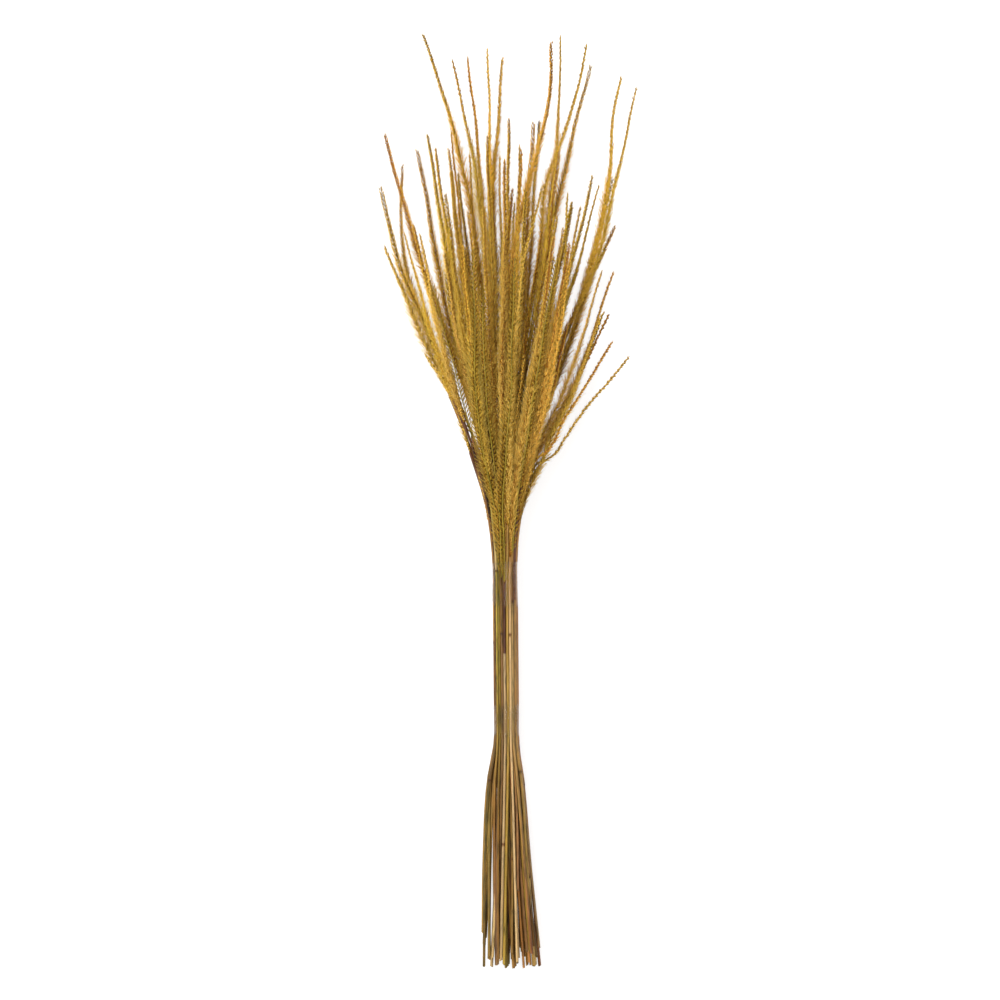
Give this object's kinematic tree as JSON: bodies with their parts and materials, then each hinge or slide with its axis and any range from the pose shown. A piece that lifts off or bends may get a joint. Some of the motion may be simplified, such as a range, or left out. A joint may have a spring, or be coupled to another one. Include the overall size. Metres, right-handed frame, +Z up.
{
  "type": "bunch of dried golden grass",
  "caption": "Bunch of dried golden grass lying flat: slender bristly spikes fan out from a narrow neck of straw stems held by two clear film bands.",
  "frame": {"origin": "middle of the box's underside, on the surface that the bunch lies on", "axes": "+Y along the stems from the cut ends towards the spikes, +Z up from the surface, +X across the bunch"},
  "size_m": [0.1918, 0.7, 0.0784],
  "materials": {
    "golden_straw": "dull dry straw, golden, fine lengthwise streaks",
    "olive_straw": "dull dry straw, yellow-green, fine lengthwise streaks",
    "purple_brown_straw": "dull dry straw, purple-brown, fine lengthwise streaks",
    "clear_film": "clear glossy wrapping film"
  },
  "bodies": {
    "root": {"grass_stem_01": "purple_brown_straw", "grass_stem_02": "golden_straw", "grass_stem_03": "olive_straw", "grass_stem_04": "golden_straw", "grass_stem_05": "golden_straw", "grass_stem_06": "olive_straw", "grass_stem_07": "golden_straw", "grass_stem_08": "olive_straw", "grass_stem_09": "golden_straw", "grass_stem_10": "olive_straw", "grass_stem_11": "olive_straw", "grass_stem_12": "purple_brown_straw", "grass_stem_13": "golden_straw", "grass_stem_14": "purple_brown_straw", "grass_stem_15": "golden_straw", "grass_stem_16": "purple_brown_straw", "grass_stem_17": "golden_straw", "grass_stem_18": "olive_straw", "grass_stem_19": "golden_straw", "grass_stem_20": "olive_straw", "grass_stem_21": "purple_brown_straw", "grass_stem_22": "golden_straw", "grass_stem_23": "olive_straw", "grass_stem_24": "golden_straw", "grass_stem_25": "olive_straw", "grass_stem_26": "olive_straw", "grass_stem_27": "purple_brown_straw", "grass_stem_28": "golden_straw", "grass_stem_29": "golden_straw", "grass_stem_30": "golden_straw", "grass_stem_31": "golden_straw", "grass_stem_32": "golden_straw", "grass_stem_33": "purple_brown_straw", "grass_stem_34": "olive_straw", "grass_stem_35": "golden_straw", "grass_stem_36": "purple_brown_straw", "grass_stem_37": "purple_brown_straw", "grass_stem_38": "golden_straw", "grass_stem_39": "purple_brown_straw", "grass_stem_40": "golden_straw", "grass_stem_41": "olive_straw", "grass_stem_42": "golden_straw", "grass_stem_43": "golden_straw", "grass_stem_44": "purple_brown_straw", "grass_stem_45": "golden_straw", "grass_stem_46": "olive_straw", "grass_stem_47": "purple_brown_straw", "grass_stem_48": "golden_straw", "grass_stem_49": "golden_straw", "grass_stem_50": "purple_brown_straw", "grass_stem_51": "olive_straw", "grass_stem_52": "golden_straw", "grass_stem_53": "golden_straw", "grass_stem_54": "purple_brown_straw", "grass_stem_55": "purple_brown_straw", "grass_stem_56": "purple_brown_straw", "grass_stem_57": "golden_straw", "grass_stem_58": "olive_straw", "lower_clear_band": "clear_film", "upper_clear_band": "clear_film"}
  },
  "joints": []
}
